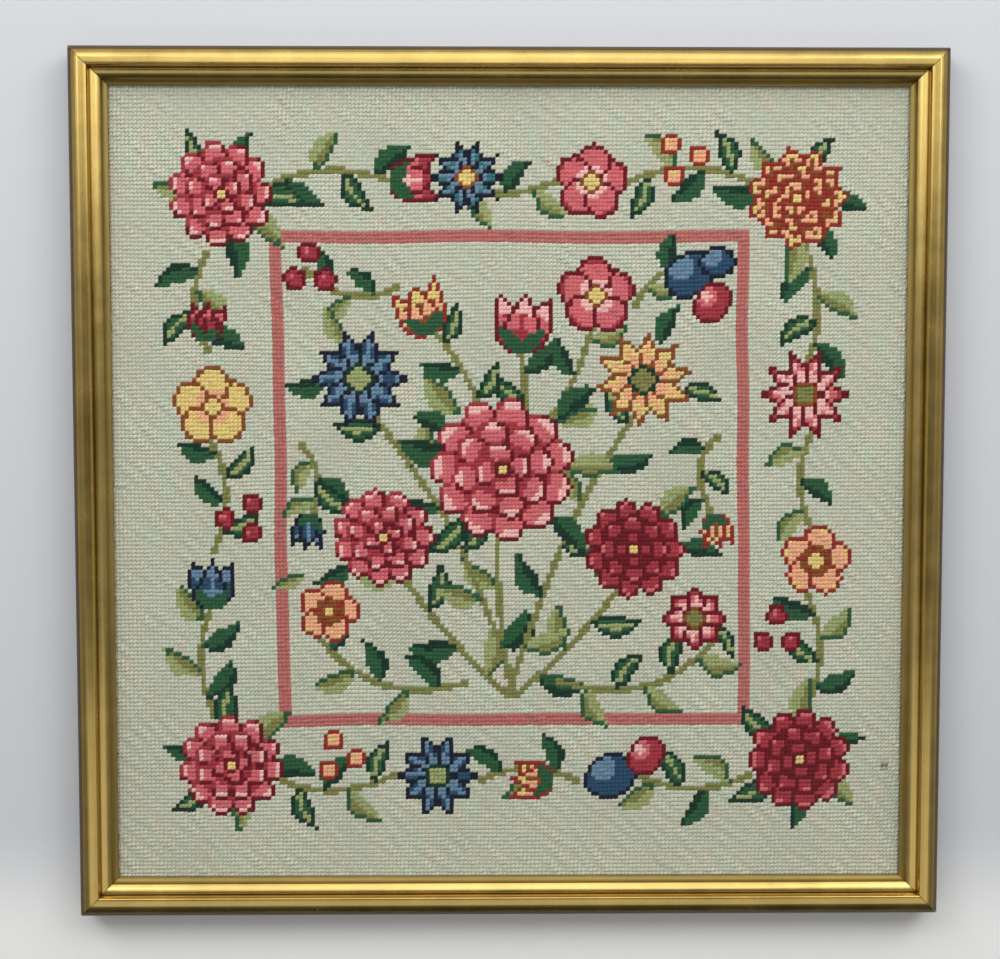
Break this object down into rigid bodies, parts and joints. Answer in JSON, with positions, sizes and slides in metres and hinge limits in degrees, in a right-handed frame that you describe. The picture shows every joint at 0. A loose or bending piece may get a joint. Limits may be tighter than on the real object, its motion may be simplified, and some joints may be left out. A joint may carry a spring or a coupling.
{
  "type": "needlepoint panel with gilt picture frame",
  "caption": "Square needlepoint panel stretched in a mitred gilt moulding frame, lying on its back with the stitched face up.",
  "frame": {"origin": "centre of the frame's back, on the plane of the back faces of the rails", "axes": "+Z out of the stitched face; +Y towards the picture's top; +X to the picture's right"},
  "size_m": [0.457, 0.457, 0.02],
  "materials": {
    "gilt_moulding": "satin gilt over wood, browner in the hollows",
    "needlepoint_wool": "matt wool tent stitch on canvas"
  },
  "bodies": {
    "root": {"rail_bottom": "gilt_moulding", "rail_right": "gilt_moulding", "rail_top": "gilt_moulding", "rail_left": "gilt_moulding", "needlepoint": "needlepoint_wool"}
  },
  "joints": []
}
